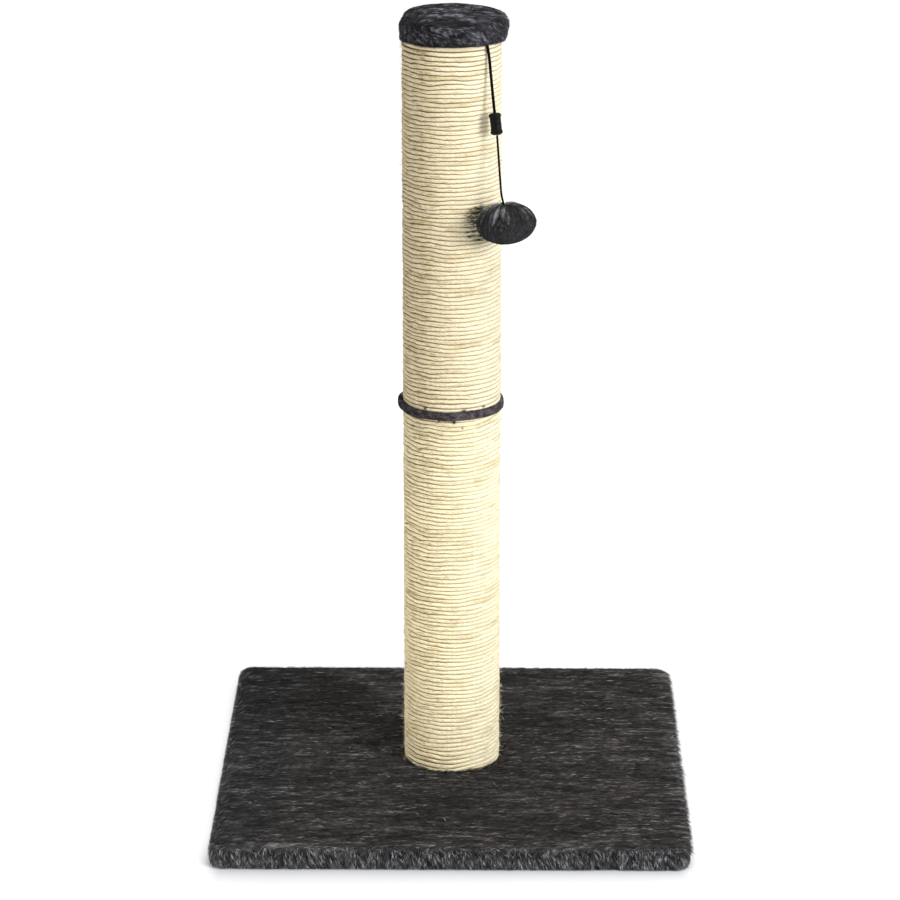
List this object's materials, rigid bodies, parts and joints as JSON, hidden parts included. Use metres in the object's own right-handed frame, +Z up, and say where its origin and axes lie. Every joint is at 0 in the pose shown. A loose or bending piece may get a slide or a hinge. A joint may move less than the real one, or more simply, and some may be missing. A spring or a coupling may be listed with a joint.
{
  "type": "cat scratching post",
  "caption": "Square plush-covered base with an upright rope-wound post in sections, a padded plush cap and a plush ball hanging beside it on a cord.",
  "frame": {"origin": "middle of the base, on the floor", "axes": "+Z up along the post, -Y the front, +X to the right"},
  "size_m": [0.4, 0.4, 0.6846],
  "materials": {
    "pad_rubber": "matte",
    "board_wood": "matte",
    "backing_felt": "matte",
    "base_plush": "matte",
    "wire_steel": "satin",
    "zinc_steel": "satin",
    "tube_paper": "matte",
    "plug_wood": "matte",
    "sisal_rope": "matte",
    "band_plush": "matte",
    "foam": "matte",
    "cap_plush": "matte",
    "black_cord": "matte",
    "thin_cord": "matte",
    "black_plastic": "satin",
    "ball_plush": "matte",
    "filling": "matte"
  },
  "bodies": {
    "post": {"foot_pads": "pad_rubber", "base_board": "board_wood", "base_backing": "backing_felt", "base_cover": "base_plush", "base_staples": "wire_steel", "base_washer": "zinc_steel", "base_screw": "zinc_steel", "lower_tube": "tube_paper", "lower_foot_plug": "plug_wood", "lower_foot_t_nut": "zinc_steel", "lower_head_plug": "plug_wood", "lower_head_t_nut": "zinc_steel", "joining_stud": "zinc_steel", "upper_foot_plug": "plug_wood", "upper_foot_t_nut": "zinc_steel", "upper_tube": "tube_paper", "upper_head_plug": "plug_wood", "plug_staples": "wire_steel", "lower_rope_winding": "sisal_rope", "upper_rope_winding": "sisal_rope", "joint_band": "band_plush", "cap_board": "board_wood", "cap_screws": "zinc_steel", "cap_padding": "foam", "cap_cover": "cap_plush", "cap_staples": "wire_steel", "cord_root": "black_cord", "cord_staple": "wire_steel"},
    "hanging_cord": {"upper_cord": "black_cord", "upper_knot": "black_cord", "connector_socket": "black_plastic"},
    "connector_tail": {"connector_plug": "black_plastic", "lower_knot": "thin_cord"},
    "ball_cord": {"lower_cord": "thin_cord", "ball_knot": "thin_cord"},
    "ball": {"ball_cover": "ball_plush", "ball_filling": "filling"}
  },
  "joints": [
    {"name": "cord_swing_out", "type": "hinge", "parent": "post", "child": "hanging_cord", "pos_m": [0.02938, -0.03173, 0.6607], "axis": [-0.7337, -0.6794, 0], "range_deg": [0, 80]},
    {"name": "connector_release", "type": "slide", "parent": "hanging_cord", "child": "connector_tail", "axis": [0.1113, -0.1202, -0.9865], "range_m": [0, 0.012]},
    {"name": "ball_swing_side", "type": "hinge", "parent": "connector_tail", "child": "ball_cord", "pos_m": [0.03753, -0.04053, 0.58844], "axis": [0.6703, -0.7238, 0.1638], "range_deg": [-75, 75]},
    {"name": "ball_spin", "type": "hinge", "parent": "ball_cord", "child": "ball", "pos_m": [0.04566, -0.04931, 0.51638], "axis": [0.1113, -0.1202, -0.9865], "continuous": true}
  ]
}
